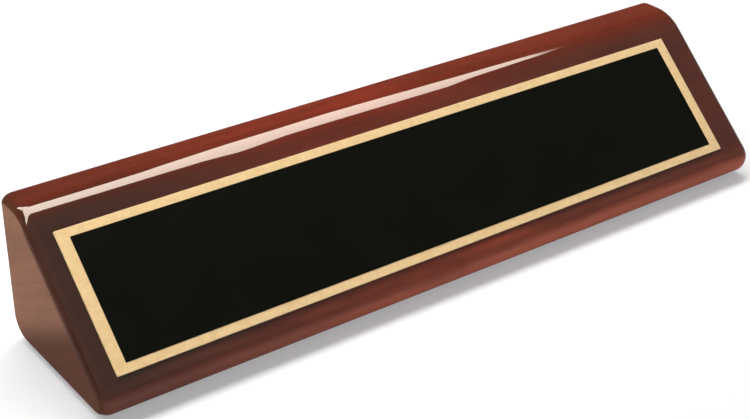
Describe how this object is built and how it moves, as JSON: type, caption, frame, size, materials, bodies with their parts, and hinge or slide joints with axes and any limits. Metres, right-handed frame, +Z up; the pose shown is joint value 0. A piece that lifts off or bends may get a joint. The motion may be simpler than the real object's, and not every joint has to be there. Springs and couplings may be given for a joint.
{
  "type": "desk name plate",
  "caption": "Desk name plate: a long wedge block in gloss rosewood veneer with a rounded top edge, carrying a black metal plate with a gold border on its sloping front.",
  "frame": {"origin": "on the floor, under the middle of the block's length and depth", "axes": "+X along the block, to the right as seen from the front; -Y is the front, which the slope faces; +Z up"},
  "size_m": [0.216, 0.048, 0.0412],
  "materials": {
    "rosewood_veneer": "thick clear gloss lacquer",
    "fibreboard": "raw, sealed by the veneer",
    "brass": "fine satin, clear lacquered",
    "black_lacquer": "smooth black lacquer on brass",
    "tape": "double-sided adhesive tape",
    "felt": "pressed felt"
  },
  "bodies": {
    "root": {"wedge_core": "fibreboard", "face_veneer": "rosewood_veneer", "toe_veneer": "rosewood_veneer", "back_veneer": "rosewood_veneer", "base_veneer": "rosewood_veneer", "left_end_veneer": "rosewood_veneer", "right_end_veneer": "rosewood_veneer", "name_plate": "brass", "black_field": "black_lacquer", "upper_tape": "tape", "lower_tape": "tape", "front_left_foot": "felt", "front_right_foot": "felt", "back_left_foot": "felt", "back_right_foot": "felt"}
  },
  "joints": []
}
